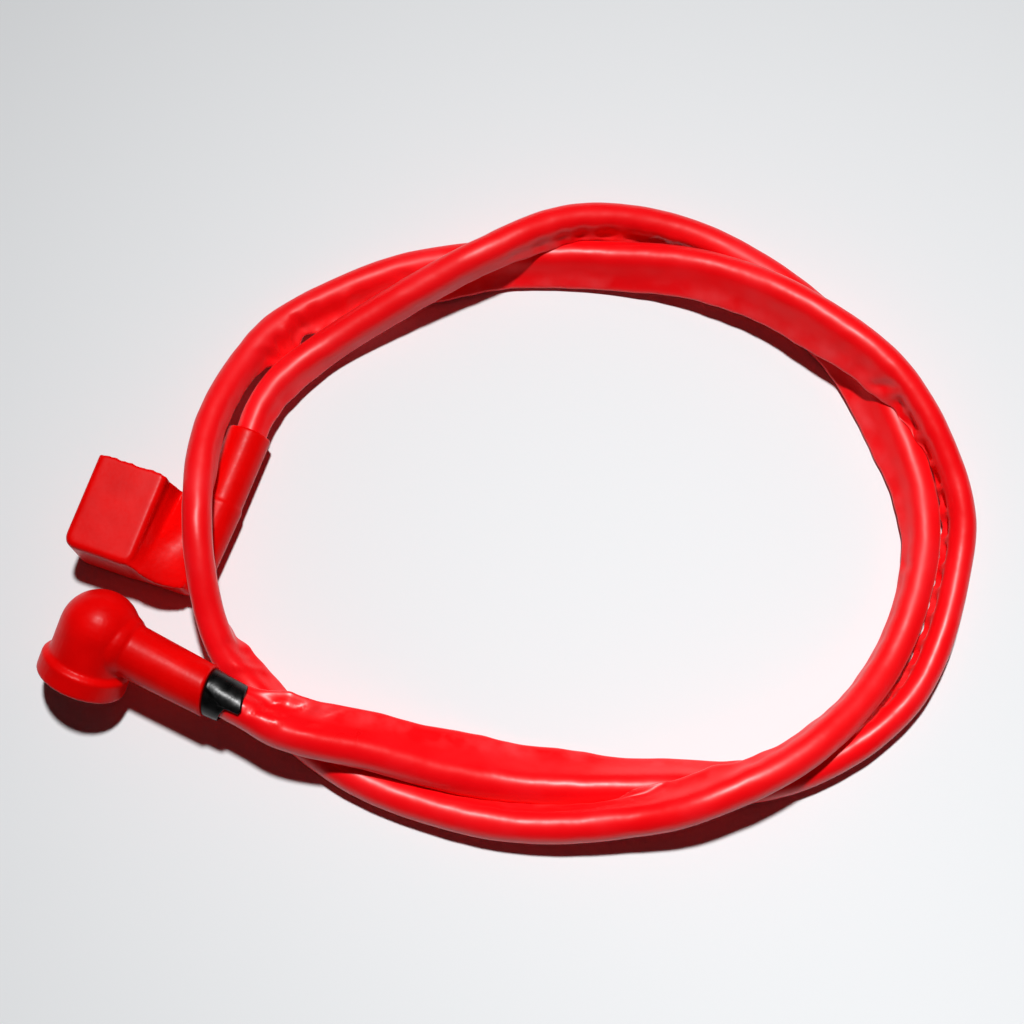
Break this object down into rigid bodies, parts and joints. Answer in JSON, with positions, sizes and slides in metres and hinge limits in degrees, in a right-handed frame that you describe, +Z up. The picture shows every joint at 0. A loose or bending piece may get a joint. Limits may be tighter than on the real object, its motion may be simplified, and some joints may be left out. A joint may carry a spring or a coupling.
{
  "type": "battery cable",
  "caption": "Loosely coiled battery cable in a red sleeve, with a right-angle boot over a ring lug at one end and a box-shaped terminal hood over a flag lug at the other.",
  "frame": {"origin": "on the surface the cable lies on, under the centre of the bounding box of the two terminal ends (boot, hood and their lugs)", "axes": "+Z up from the surface, +X from the two ends towards the far side of the loop, +Y from the boot towards the hood"},
  "size_m": [0.2018, 0.143, 0.0231],
  "materials": {
    "sleeve_pvc": "glossy soft red PVC",
    "insulation_pvc": "black cable insulation",
    "copper": null,
    "tape": "glossy black PVC tape",
    "boot_pvc": "satin dipped red PVC",
    "tinned_copper": null
  },
  "bodies": {
    "root": {"outer_sleeve": "sleeve_pvc", "cable_insulation": "insulation_pvc", "copper_conductor": "copper", "tape_wrap": "tape", "right_angle_boot": "boot_pvc", "battery_hood": "boot_pvc", "ring_lug": "tinned_copper", "flag_lug": "tinned_copper"}
  },
  "joints": []
}
